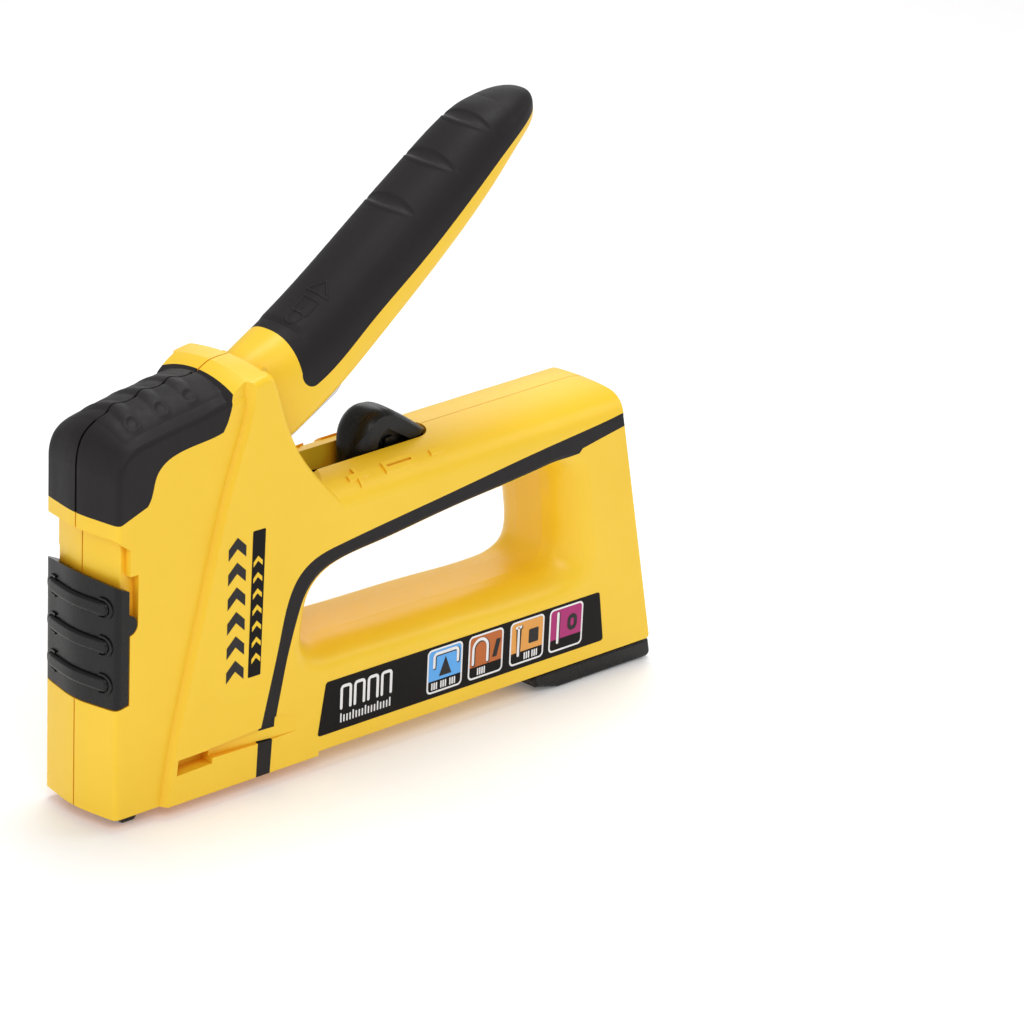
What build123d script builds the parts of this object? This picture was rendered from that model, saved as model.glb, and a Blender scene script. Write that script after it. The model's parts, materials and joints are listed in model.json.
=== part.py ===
from build123d import *
from math import atan2, cos, degrees, hypot, pi, sin
import os

# Heavy-duty staple gun. Millimetres. +X runs from the nose to the heel, +Z is up, +Y is the right side.
# Dimensions are laid out from the front face of the nose; everything is shifted back by ORIGIN_X at
# the end, so the origin is the middle of the nose's front lip, on the work face.

ORIGIN_X = 2.6
HALF = 14.3  # half width of the panels
FRONT_HALF = 12.5  # half width ahead of the side ridge
SEAM = 0.0  # plane of the joint between the halves
FAR = 40.0  # reach of a cutter that has to pass right through
CLEAR = 0.3  # air between pieces that move past each other
PIN_CLEAR = 0.05  # radial air of a pin in its bore

# lever
PIVOT = (40.0, 77.0)
PIVOT_R = 3.0
ARM_Y = 7.0  # middle of each steel arm plate
ARM_T = 1.6
ARM_REACH = 28.0  # along, pivot to hammer pin
ARM_DROP = 7.2  # how far the arms rest below the pivot; they lift the same amount above it

# hammer, blade and main spring
HAMMER_PIN_R = 1.6
SPRING_X = 20.6
SPRING_R = 4.5
SPRING_WIRE = 1.8
SPRING_FOOT = 47.0
SPRING_TOP = 88.5
SPRING_TURNS = 8

# magazine
STAPLE_CROWN = 11.4
STAPLE_LEG = 10.0
STRIP_FROM = 7.9
STRIP_TO = 50.0

# screws: x, z of each axis
SCREWS = [(37.6, 52.4), (23.0, 25.0), (40.0, 30.0), (118.0, 60.0), (150.2, 50.0), (154.0, 24.4)]
SCREW_R = 1.5
SCREW_HEAD_R = 2.9
BOSS_R = 3.6


def face_of(*runs):
    """Closed XZ face. Each run carries on from the last point: one point is a line, more are a curve."""
    start = runs[0][0]
    last = start
    edges = []
    for run in (*((runs[0][1:],) if len(runs[0]) > 1 else ()), *runs[1:], [start]):
        points = [Vector(x, 0, z) for x, z in (last, *run)]
        if (points[0] - points[-1]).length < 1e-6:
            continue
        if len(points) == 2:
            edges.append(Edge.make_line(points[0], points[1]))
        else:
            edges.append(Edge.make_spline(points))
        last = run[-1]
    return Face(Wire(edges))


def slab(face, y_from, y_to):
    """Solid between two planes across the tool."""
    return Part() + Solid.extrude(face.moved(Location((0, y_from, 0))), Vector(0, y_to - y_from, 0))


def prism(face, half=FAR):
    return slab(face, -half, half)


def block(x0, x1, y0, y1, z0, z1):
    return Pos((x0 + x1) / 2, (y0 + y1) / 2, (z0 + z1) / 2) * Box(x1 - x0, y1 - y0, z1 - z0)


def both_sides(face, inner, outer):
    """The same slab on the left and on the right."""
    return slab(face, inner, outer) + slab(face, -outer, -inner)


def rod(x, z, radius, y0, y1):
    """Cylinder across the tool."""
    return Pos(x, (y0 + y1) / 2, z) * Rot(90, 0, 0) * Cylinder(radius, y1 - y0)


def soften(shape, edges, radii):
    """Round the edges with the first radius the shape takes."""
    for radius in radii:
        try:
            rounded = fillet(edges, radius)
            if rounded.is_valid and rounded.volume > 0:
                return rounded
        except (ValueError, RuntimeError):
            continue
    return shape


def roof(x, half, crown, drop, corner, power=12, floor=-12.0):
    """Cross-section wire at x: a crowned top falling by drop, then a rounded corner, then flat sides."""
    top = []
    for share in (-1.0, -0.985, -0.95, -0.9, -0.8, -0.6, -0.3, 0.0, 0.3, 0.6, 0.8, 0.9, 0.95, 0.985, 1.0):
        rounding = 1 - (1 - abs(share) ** power) ** 0.5
        top.append(Vector(x, share * half, crown - drop * share * share - corner * rounding))
    base = [Vector(x, half, floor), Vector(x, -half, floor)]
    return Wire(
        [
            Edge.make_spline(top),
            Edge.make_line(top[-1], base[0]),
            Edge.make_line(base[0], base[1]),
            Edge.make_line(base[1], top[0]),
        ]
    )


def lofted(sections):
    return Part() + Solid.make_loft(sections)


def halves(shape):
    """Split at the seam: the left side faces -Y."""
    left = shape - block(-50, 250, SEAM, FAR * 2, -50, 250)
    right = shape - block(-50, 250, -FAR * 2, SEAM, -50, 250)
    return left, right


# ------------------------------------------------------------------ outer form
# Front of the tower. Each station across it is a side view: up the front face, round and back under the cap.
NOSE_DROP = 5.0  # how far the crown has fallen at the side edge
NOSE_CORNER = 1.5
STEPS = (-1.0, -2 / 3, -1 / 3, 0.0, 1 / 3, 2 / 3, 1.0)


def nose_front(y):
    """How far back the slightly pointed front face lies."""
    return 2.0 * (abs(y) / FRONT_HALF) ** 1.6


def nose_outline(y, inset=0.0):
    drop = NOSE_DROP * (y / FRONT_HALF) ** 2
    x = nose_front(y) + inset
    top = [
        (x + 0.5, 84.3 - 0.45 * drop), (x + 1.6, 87.0 - 0.6 * drop), (x + 4.0, 89.2 - 0.68 * drop),
        (x + 8.0, 91.1 - 0.84 * drop), (15 + inset, 92.8 - 0.98 * drop), (24, 94.4 - drop),
        (33, 95.1 - 0.74 * drop), (46, 95.1 - 0.74 * drop),
    ]
    top = [(px, pz - inset) for px, pz in top]
    outline = face_of([(x, -12)], [(x, 80.5 - 0.3 * drop - inset)], top, [(46, -12)])
    return outline.outer_wire().moved(Location((0, y, 0)))


nose = lofted([nose_outline(step * FRONT_HALF) for step in STEPS])
nose = nose - block(-50, 250, -FAR, FAR, -20, 0)
side_edges = [e for e in nose.edges() if abs(e.center().Y) > FRONT_HALF - 0.01]
corners = [e for e in side_edges if e.center().X < 40 and e.center().Z > 1]
nose = soften(nose, corners, (NOSE_CORNER, 1.2, 0.8))


def tower_outline(y):
    """Side view of the wide part behind the ridge, with a raised top and a sloping rear edge."""
    fall = (y / HALF) ** 2
    outline = face_of(
        [(9, 0)],
        [(9, 58)],
        [(30, 86)],
        [(32.4, 94.4 - 3.6 * fall)],
        [(34.8, 96.1 - 3.0 * fall), (37.3, 97.2 - 2.4 * fall)],
        [(40.0, 97.5 - 2.0 * fall), (42.4, 97.6 - 1.7 * fall)],
        [(44.0, 96.6 - 1.2 * fall), (45.2, 94.0 - 0.6 * fall), (46.6, 89.4), (48.8, 83.3), (52.9, 75.3),
         (56.7, 70.4), (61.3, 65.4), (66.0, 61.0)],
        [(66.0, 40)],
        [(60, 0)],
    )
    return outline.outer_wire().moved(Location((0, y, 0)))


tower = lofted([tower_outline(step * HALF) for step in STEPS])
side_edges = [e for e in tower.edges() if abs(e.center().Y) > HALF - 0.01]
lips = [e for e in side_edges if e.center().Z > 70 and e.center().X > 33]
tower = soften(tower, lips, (1.6, 1.2, 0.8))

# step down ahead of the ridge that runs from the back of the cap to the work face
ridge = [(36.5, 101.0), (37.5, 93.0), (33.0, 77.0), (27.5, 58.0), (20.8, 31.0), (15.8, 10.0), (14.0, -4.0)]
# how far the ramp of the ridge has leaned back at each distance out from the front panels
RAMP = ((-0.4, -0.3), (0.4, 0.25), (1.2, 0.7), (2.0, 1.5), (2.8, 4.0))
for side in (-1, 1):
    ramp = []
    for out, lean in RAMP:
        shifted = [(x + lean, z) for x, z in ridge]
        outline = face_of([(-20, -4)], [(-20, 101)], [shifted[0]], shifted[1:])
        ramp.append(outline.outer_wire().moved(Location((0, side * (FRONT_HALF + out), 0))))
    tower = tower - lofted(ramp)

HEEL_BOW = 2.2  # how far the middle of the rear face stands out behind its sides


def arm_outline(y):
    """Side view of the arm, rear post and lower rail."""
    bow = HEEL_BOW * (1 - (y / HALF) ** 2)
    outline = face_of(
        [(46, 0)],
        [(46, 66.6)],
        [(60, 66.9), (90, 67.6), (120, 68.5), (140, 69.0)],
        [(146, 69.15), (151 + 0.7 * bow, 68.9), (153.8 + bow, 67.6), (154.9 + bow, 65.2), (155.2 + bow, 62.0)],
        [(168.6 + 0.4 * bow, 2.2)],
        [(168.4 + 0.4 * bow, 1.4), (167.2 + 0.4 * bow, 1.1)],
        [(60, 1.1)],
        [(50, 0.7)],
    )
    return outline.outer_wire().moved(Location((0, y, 0)))


arm_crown = lofted(
    [
        roof(38, HALF, 66.3, 3.0, 5.0, 8),
        roof(106, HALF, 68.0, 3.0, 5.0, 8),
        roof(174, HALF, 69.8, 3.0, 5.0, 8),
    ]
)
arm = lofted([arm_outline(step * HALF) for step in STEPS]) & arm_crown
heel = [e for e in arm.edges() if e.center().X > 157 and abs(e.center().Y) > 13 and e.length > 30]
arm = soften(arm, heel, (3.0, 2.0))
envelope = nose + tower + arm
sole = [e for e in envelope.edges() if e.center().Z < 1.5 and abs(e.center().Y) > 11 and e.length > 20]
envelope = soften(envelope, sole, (1.2, 0.8))

# ------------------------------------------------------------------ finger opening
mouth = [
    (52.0, 31.5), (51.9, 27.6), (53.4, 23.6), (57.6, 21.2), (63.0, 20.9), (84.3, 20.5), (110.0, 19.9),
    (136.5, 19.3), (142.6, 20.6), (146.9, 23.4), (148.2, 27.6), (147.0, 36.0), (145.4, 46.0), (142.2, 54.4),
    (138.0, 56.4), (129.0, 55.8), (114.4, 54.2), (95.3, 52.2), (76.7, 49.8), (64.6, 48.4), (58.6, 46.4),
    (54.6, 42.7), (52.8, 37.1),
]
throat = [
    (57.0, 33.0), (57.2, 30.4), (58.6, 27.6), (61.6, 26.1), (66.0, 25.8), (84.3, 25.6), (110.0, 25.4),
    (130.5, 25.2), (135.4, 25.9), (138.4, 28.0), (139.4, 31.6), (138.9, 38.0), (138.0, 45.0), (136.8, 49.6),
    (133.0, 52.4), (126.0, 52.4), (114.4, 51.3), (95.3, 49.3), (76.7, 46.9), (67.0, 45.4), (62.2, 43.4),
    (59.0, 40.2), (57.4, 36.8),
]


def ring(y, share):
    """Outline of the opening: share 1 at the panel, 0 through the middle."""
    points = [
        Vector(b[0] + (a[0] - b[0]) * share, y, b[1] + (a[1] - b[1]) * share) for a, b in zip(mouth, throat)
    ]
    return Wire([Edge.make_spline(points, periodic=True)])


def opening():
    """Finger opening with rounded lips."""
    scoop_from, scoop_to = 4.5, HALF
    cut = Part()
    for side in (-1, 1):
        rings = []
        for step in range(6):
            share = step / 5
            depth = scoop_from + (scoop_to - scoop_from) * sin(share * pi / 2)
            rings.append(ring(side * depth, 1 - cos(share * pi / 2)))
        rings.append(ring(side * (HALF + 3), 1.02))
        cut += Solid.make_loft(rings)
    core = Face(ring(-scoop_from, 0))
    cut += Solid.extrude(core, Vector(0, 2 * scoop_from, 0))
    return cut


envelope = envelope - opening()

# ------------------------------------------------------------------ outer pieces cut from the form
cap_zone = prism(
    face_of(
        [(-5, 70)],
        [(2.5, 69.8)],
        [(9.9, 72.6)],
        [(11.2, 75.1), (12.5, 79.4), (14.8, 81.7), (18.0, 83.0), (24.4, 84.0), (31.0, 85.1)],
        [(32.0, 86.8)],
        [(33.4, 91.0), (33.8, 99.0)],
        [(-5, 99)],
    )
)
CAP_T = 1.6
under_cap = lofted([nose_outline(step * (FRONT_HALF - CAP_T), CAP_T) for step in STEPS])
cap = (envelope & cap_zone) - under_cap

RUBBER = 1.7  # depth of the rubber let into the panels
stripe_zone = prism(
    face_of(
        [(46.6, 11.0)],
        [(46.9, 14.0), (47.6, 17.4), (50.2, 29.0), (51.7, 34.0), (53.3, 38.6), (55.6, 42.5), (59.5, 45.7),
         (65.2, 47.5), (76.9, 49.0), (95.4, 51.4), (114.5, 53.4), (129.1, 55.0), (137.4, 55.6)],
        [(140.8, 55.9)],
        [(141.8, 56.9)],
        [(154.3, 59.3), (166, 61.4)],
        [(166, 64.9)],
        [(153.7, 62.7), (133.7, 60.3), (114.2, 57.8), (95.2, 55.2), (76.6, 52.8), (64.5, 51.1), (57.0, 49.3),
         (52.6, 46.2), (49.8, 41.4), (47.4, 32.2), (44.0, 18.4), (42.1, 11.0)],
    )
)
stripe_bed = slab(
    face_of(
        [(53.4, 5)],
        [(53.9, 30), (54.6, 36.6), (56.4, 41.6), (59.8, 45.6), (65.5, 48.0), (76.7, 49.4), (95.3, 51.8),
         (114.4, 53.8), (127, 55.1), (141, 56.3)],
        [(153.6, 58.0)],
        [(153.6, 80)],
        [(30, 80)],
        [(30, 5)],
    ),
    -HALF + RUBBER,
    HALF - RUBBER,
)
stripe = (envelope & stripe_zone) - stripe_bed
toe_zone = prism(face_of([(41.5, 8.6)], [(45.8, 8.4)], [(45.2, -1)], [(41.1, -1)]))
toe = (envelope & toe_zone) - block(30, 60, -HALF + RUBBER, HALF - RUBBER, -5, 20)

LABEL_T = 0.4
label_face = face_of(
    [(62.6, 17.9)],
    [(149.5, 17.9)],
    [(150.1, 17.7), (150.4, 17.1)],
    [(152.2, 5.8)],
    [(152.1, 5.0), (151.4, 4.7)],
    [(60.5, 4.8)],
    [(59.8, 5.1), (59.7, 5.8)],
    [(61.6, 17.1)],
    [(61.9, 17.7), (62.6, 17.9)],
)
badge_face = face_of(
    [(38.0, 25.7)], [(38.1, 25.5), (38.3, 25.4)], [(41.3, 25.4)], [(41.6, 25.5), (41.7, 25.7)],
    [(42.3, 60.3)], [(42.2, 60.5), (42.0, 60.6)], [(38.9, 60.6)], [(38.7, 60.5), (38.6, 60.3)],
)

# front slider: a plate wrapped round the nose, with finger ribs and a nub in a notch each side
SLIDER_LOW = (25.3, 27.3)  # lower edge: well ahead of the nose, then at the back of the wings
SLIDER_TOP = (58.4, 54.0)  # upper edge, likewise
SLIDER_TRAVEL = 8.0
SLIDER_T = 1.7
WING_X = 5.1
NUB = (5.0, 46.0, 2.3)
NOTCH_TOP = NUB[1] + NUB[2] + SLIDER_TRAVEL + 1.1


def nose_core(inset):
    """The plan of the nose moved inwards, standing from below the floor."""
    side = FRONT_HALF - inset
    points = [(nose_front(step * FRONT_HALF) + inset, step * side) for step in STEPS]
    back = Polyline(points[-1], (30, side), (30, -side), points[0])
    core = Part() + extrude(make_face(Spline(*points) + back), 150)
    front_edges = core.edges().filter_by(Axis.Z).filter_by(lambda e: e.center().X < 10)
    return Pos(0, 0, -20) * soften(core, front_edges, (max(NOSE_CORNER - inset, 0.4), 0.4))


slider_side = face_of(
    [(-5, SLIDER_LOW[0])], [(-5, SLIDER_TOP[0])], [(WING_X, SLIDER_TOP[1])], [(WING_X, SLIDER_LOW[1])],
)
slider_zone = prism(slider_side, 20) + rod(*NUB, -20, 20)
slider = (envelope & slider_zone) - nose_core(SLIDER_T)
RIB_OUT = 0.9
RIM_OUT = 0.45
rib_skin = Pos(-RIB_OUT, 0, 0) * nose_core(0)
rim_skin = Pos(-RIM_OUT, 0, 0) * nose_core(0)
for rib_z in (32.0, 41.0, 49.9):
    rib = extrude(Plane.YZ.offset(-6) * (Pos(0, rib_z) * SlotOverall(20.6, 3.4)), 8.0) & rib_skin
    rib = soften(rib, rib.faces().sort_by(Axis.X)[0].edges(), (0.8, 0.6, 0.4))
    rim = extrude(Plane.YZ.offset(-6) * (Pos(0, rib_z) * SlotOverall(22.6, 5.0)), 8.0)
    gap = extrude(Plane.YZ.offset(-6) * (Pos(0, rib_z) * SlotOverall(21.2, 4.0)), 8.0)
    rim = ((rim - gap) & rim_skin) - block(-9, 9, -7.6, 7.6, 0, 90)
    slider = slider + (rib - nose_core(SLIDER_T)) + (rim - nose_core(SLIDER_T))
slider = slider + block(1.2, 4.2, -3.0, 3.0, 36.0, 46.0)

# ------------------------------------------------------------------ housing
recess_side = face_of(
    [(-5, SLIDER_LOW[0] - CLEAR)], [(-5, 66.6)], [(1.6, 66.3)], [(WING_X + CLEAR, 63.4)],
    [(WING_X + CLEAR, SLIDER_LOW[1] - CLEAR)],
)
notch = block(4.0, NUB[0] + NUB[2] + CLEAR, -20, 20, NUB[1], NOTCH_TOP)
notch += rod(NUB[0], NUB[1], NUB[2] + CLEAR, -20, 20)
recess = (prism(recess_side) + notch) - nose_core(SLIDER_T + 0.25)
recess += block(1, 6, -3.4, 3.4, 35.6, 54.5)
shell = envelope - cap - stripe - toe - recess

tower_room = face_of(
    [(5.2, 13)], [(5.2, 83.0)], [(8.6, 87.8)], [(14, 88.5)], [(28, 88.5)], [(32, 89.4)], [(43.2, 94.5)],
    [(49.6, 80), (57.0, 69.0), (66.0, 61.0)],
    [(60, 52)], [(49.6, 46)], [(48.4, 28)], [(43.6, 13)],
)
SLOT_HALF = 5.4
cavity = slab(tower_room, -8.3, 8.3) + (slab(tower_room, -9.9, 9.9) & block(0, 70, -20, 20, 0, 82.5))
cavity += slab(tower_room, -11.2, 11.2) & (
    block(16.5, 70, -20, 20, 14, 83.5) + block(34, 70, -20, 20, 60, 91)
)
lever_mouth = face_of([(42.6, 112)], [(42.6, 66)], [(50, 63.6)], [(60, 64.2)], [(67.5, 67.6)], [(90, 112)])
cavity += slab(lever_mouth, -11.3, 11.3)
cavity += slab(
    face_of(
        [(44, 49.0)], [(58, 49.0)], [(65.5, 50.6)], [(76.7, 51.6)], [(95.3, 53.9)], [(114.4, 55.9)],
        [(127, 57.1)], [(146, 58.6)], [(147.6, 44)], [(148.4, 28)], [(149.4, 19.8)], [(161.6, 19.8)],
        [(152.2, 56)], [(150.6, 61.5)], [(146, 63.9)], [(120, 63.9)], [(90, 63.3)], [(44, 63)],
    ),
    -10.0,
    10.0,
)
cavity += block(5.2, 190, -9.0, 9.0, 1.5, 15.6)  # magazine way, open at the heel
cavity += block(5.2, 190, -8.6, 8.6, 13.0, 17.4) & block(5.2, 158, -9, 9, 0, 20)
cavity += block(5.2, 11.2, -9.3, 9.3, -5, 3)  # mouth of the nose
cavity += block(131, 190, -5.0, 5.0, -5, 3)  # slot for the neck of the heel foot
cavity += block(55, 96.4, -SLOT_HALF, SLOT_HALF, 61, 75)  # adjuster slot
cavity += Pos(96.4, 0, 67) * Cylinder(SLOT_HALF, 14)

bosses = Part()
for x, z in SCREWS:
    bosses += rod(x, z, BOSS_R, -13, 13)
bosses += rod(*PIVOT, 6.0, 9.3, 13) + rod(*PIVOT, 6.0, -13, -9.3)
slot_wall = face_of([(66, 61.2)], [(66, 64.6)], [(104, 65.2)], [(104, 61.2)])
bosses += both_sides(slot_wall, SLOT_HALF, SLOT_HALF + 1.4)
SHELF_Z = 38.0
bosses += block(11.5, 27.5, -12, 12, SHELF_Z - 3, SHELF_Z)
shell = shell - (cavity - bosses)

for x, z in SCREWS:
    shell = shell - rod(x, z, SCREW_R, -9.6, 0.0) - rod(x, z, SCREW_R + 0.1, 0.0, 10.6)
    shell = shell - rod(x, z, SCREW_HEAD_R + 0.2, 10.5, 20)
PIN_HALF = 12.3
shell = shell - rod(*PIVOT, PIVOT_R, -PIN_HALF - 0.1, PIN_HALF + 0.1)

# staple window with a run-out groove behind it, both sides
pocket_side = face_of([(17.8, 7.0)], [(18.2, 10.7)], [(28.4, 10.9)], [(28.0, 7.3)])
channel_side = face_of(
    [(27.0, 8.6)], [(27.0, 11.0)], [(45.0, 12.1)], [(52.0, 12.2), (53.6, 10.3), (52.0, 8.4)], [(45.0, 8.2)],
)
POCKET_Y = 10.4  # how close the pocket's floor comes to the middle
groove = both_sides(pocket_side, POCKET_Y, 20)
wedge_plan = Polyline((26, -20), (26, -12.5), (28, -12.7), (54, -HALF - 0.05), (60, -20), (26, -20))
wedge = make_face(Plane.XY * wedge_plan)
wedge = extrude(wedge, 30)
groove += prism(channel_side) & (wedge + mirror(wedge, Plane.XZ))
shell = shell - groove
stripe = stripe - groove
toe = toe - groove

labels = []
badges = []
for side in (-1, 1):
    outer = side * (HALF + 0.05)
    labels.append(slab(label_face, side * (HALF - LABEL_T), outer))
    badges.append(slab(badge_face, side * (HALF - LABEL_T), outer))
    shell = shell - slab(label_face, side * (HALF - LABEL_T), side * FAR)
    shell = shell - slab(badge_face, side * (HALF - LABEL_T), side * FAR)

# fine groove where the halves meet, finer still along the arm and the heel
SEAM_HALF = 0.18
CAP_SEAM_HALF = 0.3
SEAM_REAR_HALF = 0.09
seam_side = face_of(
    [(-3, -3)], [(0.6, -3)], [(0.6, 83.0)], [(2.2, 86.6), (4.6, 88.7), (8.4, 90.5)],
    [(15, 92.2), (24, 93.8), (33, 94.5)], [(38.0, 96.6)], [(44, 97.0)], [(44, 110)], [(-3, 110)],
)
seam_rear = face_of(
    [(101.6, 67.5)], [(120, 68.1), (140, 68.6)],
    [(146, 68.75), (152.3, 68.4), (155.5, 67.2), (156.6, 65.0), (156.9, 62.0)],
    [(167.6, 9)], [(180, 9)], [(180, 90)], [(101.6, 90)],
)
seam_cut = slab(seam_side, -SEAM_HALF, SEAM_HALF) + slab(seam_rear, -SEAM_REAR_HALF, SEAM_REAR_HALF)
seam_cut += block(-3, 2.6, -SEAM_HALF, SEAM_HALF, SLIDER_TOP[1], 67)
shell = shell - seam_cut
cap = cap - slab(seam_side, -CAP_SEAM_HALF, CAP_SEAM_HALF)

# raised plus, bar and minus beside the adjuster
MARK_OUT = 0.6
STROKES = [(69.2, 75.2, 10.8, 12.0), (71.6, 72.8, 9.2, 13.4), (80.0, 89.4, 10.2, 12.6), (94.4, 98.2, 10.8, 12.0)]
marks = Part()
for side in (-1, 1):
    for x0, x1, y0, y1 in STROKES:
        low, high = sorted((side * y0, side * y1))
        marks += block(x0, x1, low, high, 60, 80)
marks = marks - both_sides(face_of([(81.0, 60)], [(81.0, 80)], [(88.4, 80)], [(88.4, 60)]), 11.1, 11.7)
skin = (Pos(0, 0, MARK_OUT) * arm) - (Pos(0, 0, -0.8) * arm)
shell = shell + (marks & skin)

housing_left, housing_right = halves(shell)

# ------------------------------------------------------------------ lever
# stations along the lever: crest x, z; underside x, z; half width
STATIONS = [
    ((41.6, 94.6), (52.2, 73.8), 7.8),
    ((48.4, 98.2), (58.6, 78.9), 9.5),
    ((57.0, 102.4), (65.8, 84.6), 10.6),
    ((69.3, 110.4), (79.0, 94.9), 10.7),
    ((85.3, 122.0), (93.5, 107.0), 10.8),
    ((102.2, 134.0), (108.9, 120.9), 10.6),
    ((112.0, 140.4), (116.6, 128.6), 10.0),
    ((120.8, 144.0), (123.0, 134.4), 8.6),
    ((127.0, 144.9), (128.0, 137.4), 6.0),
    ((130.4, 143.9), (130.8, 139.6), 2.8),
]


def lever_section(crest, under, half, inset=0.0):
    """Section square to the lever: crowned on top, squarer and flatter underneath."""
    length = hypot(crest[0] - under[0], crest[1] - under[1])
    up = ((crest[0] - under[0]) / length, (crest[1] - under[1]) / length)
    waist = 0.42 * length
    points = []
    for step in range(32):
        angle = 2 * pi * step / 32
        across = cos(angle)
        rise = sin(angle)
        power = 2.4 if rise > 0 else 5.0
        tall = (length - waist if rise > 0 else waist) - inset
        y = (half - inset) * (1 if across >= 0 else -1) * abs(across) ** (2 / power)
        h = waist + (1 if rise >= 0 else -1) * tall * abs(rise) ** (2 / power)
        points.append(Vector(under[0] + up[0] * h, y, under[1] + up[1] * h))
    return Wire([Edge.make_spline(points, periodic=True)])


lever = lofted([lever_section(*station) for station in STATIONS])
grip_zone = prism(
    face_of(
        [(52.6, 120)],
        [(52.8, 104.5)],
        [(54.8, 97.4), (55.9, 92.6)],
        [(56.4, 90.6), (58.0, 89.3), (60.2, 89.5)],
        [(62.6, 91.0), (75.0, 100.6), (88.9, 111.2), (110.1, 128.8), (119.0, 135.6), (126.0, 139.4), (134, 142.0)],
        [(134, 160)],
        [(52.6, 160)],
    )
)
lever_grip = lever & grip_zone
lever_core = lever - grip_zone
HUB_R = 8.2
HUB_HALF = 7.0
neck = face_of([(37.0, 83.0)], [(41.0, 91.4)], [(47.0, 95.4)], [(58.0, 86.0)], [(52.0, 74.5)], [(44.0, 70.7)])
hub = rod(*PIVOT, HUB_R, -HUB_HALF, HUB_HALF) + slab(neck, -HUB_HALF, HUB_HALF)
lever_core = lever_core + hub
COIL_HALF = 3.4
LEG_X = PIVOT[0] + 4.5
LEG_Y = 2.6
lever_core = lever_core - rod(*PIVOT, PIVOT_R + PIN_CLEAR, -20, 20) - rod(*PIVOT, 6.2, -COIL_HALF, COIL_HALF)
lever_core = lever_core - block(36, 62, -LEG_Y - 0.9, -LEG_Y + 0.9, 60, PIVOT[1])
lever_core = lever_core - block(LEG_X - 0.9, LEG_X + 0.9, LEG_Y - 0.9, LEG_Y + 0.9, PIVOT[1], PIVOT[1] + 10.0)
# keep clear of the roof of the tower and of the pivot bosses
ceiling = prism(face_of([(20, 84.0)], [(32, 87.8)], [(43.6, 93.0)], [(43.6, 110)], [(20, 110)]))
cheek = face_of([(48, 60)], [(48, 83)], [(33, 83)], [(33, 60)])
lever_core = lever_core - ceiling - both_sides(cheek, HUB_HALF, 20)

# channel under the lever that the adjuster's fin enters when the lever is squeezed
FIN_WAY = face_of(
    [(66.0, 76)], [(66.0, 86.2)], [(69.6, 91.9)], [(76.2, 97.2)], [(90.0, 108.0)], [(99.0, 112.6)], [(102, 100)],
)
lever_core = lever_core - slab(FIN_WAY, -5.9, 5.9)

arm_back = (66.0, 87.8)
reach = (PIVOT[0] - ARM_REACH, PIVOT[1] - ARM_DROP)
arm_plate = face_of(
    [(reach[0] - 3.2, reach[1] + 0.8)],
    [(reach[0] - 2.4, reach[1] - 2.2), (reach[0] + 0.8, reach[1] - 3.3)],
    [(PIVOT[0] - 12, PIVOT[1] - 7.9)],
    [(PIVOT[0] - 4, PIVOT[1] - 7.0), (PIVOT[0] + 4.5, PIVOT[1] - 5.6)],
    [(arm_back[0] + 2.0, arm_back[1] - 2.8)],
    [(arm_back[0] + 3.8, arm_back[1] + 0.4), (arm_back[0] + 0.8, arm_back[1] + 3.2)],
    [(PIVOT[0] + 2.0, PIVOT[1] + 7.6)],
    [(PIVOT[0] - 5, PIVOT[1] + 6.0), (PIVOT[0] - 12, PIVOT[1] + 1.6)],
    [(reach[0] + 0.8, reach[1] + 3.4)],
    [(reach[0] - 2.4, reach[1] + 2.8), (reach[0] - 3.2, reach[1] + 0.8)],
)
tilt = degrees(atan2(ARM_DROP, ARM_REACH))
SLOT_R = HAMMER_PIN_R + 0.2
pin_slot = Pos(reach[0] + 0.45, 0, reach[1] + 0.1) * Rot(0, -tilt, 0) * (
    block(-0.7, 0.7, -20, 20, -SLOT_R, SLOT_R) + rod(-0.7, 0, SLOT_R, -20, 20) + rod(0.7, 0, SLOT_R, -20, 20)
)
arms = both_sides(arm_plate, ARM_Y - ARM_T / 2, ARM_Y + ARM_T / 2)
RIVETS = [(57.0, 83.9), (65.0, 87.6)]
arms = arms - pin_slot - rod(*PIVOT, PIVOT_R + PIN_CLEAR, -20, 20)
lever_core = lever_core - both_sides(arm_plate, ARM_Y - ARM_T / 2 - 0.05, ARM_Y + ARM_T / 2 + 0.05)
rivets = Part()
for x, z in RIVETS:
    arms = arms - rod(x, z, 1.6, -20, 20)
    lever_core = lever_core - rod(x, z, 1.6, -8.9, 8.9)
    rivets += rod(x, z, 1.6, -8.9, 8.9)
pivot_pin = rod(*PIVOT, PIVOT_R, -PIN_HALF, PIN_HALF)


def coil(radius, wire, height, turns):
    """Round-wire spring standing on the origin."""
    path = Helix(height / turns, height, radius)
    start = Plane(origin=path @ 0, z_dir=path % 0)
    return sweep(start * Circle(wire / 2), path, is_frenet=True)


# return spring: a coil round the pivot pin, one leg on the housing side, one under the lever
twist = Rot(90, 0, 0) * (Pos(0, 0, -LEG_Y) * coil(4.5, 1.1, 2 * LEG_Y, 4))
return_spring = Pos(PIVOT[0], 0, PIVOT[1]) * twist
return_spring = return_spring + Pos(LEG_X, -LEG_Y, PIVOT[1] - 5.0) * Cylinder(0.55, 10.0)
return_spring = return_spring + Pos(LEG_X, LEG_Y, PIVOT[1] + 4.5) * Cylinder(0.55, 9.0)

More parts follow.
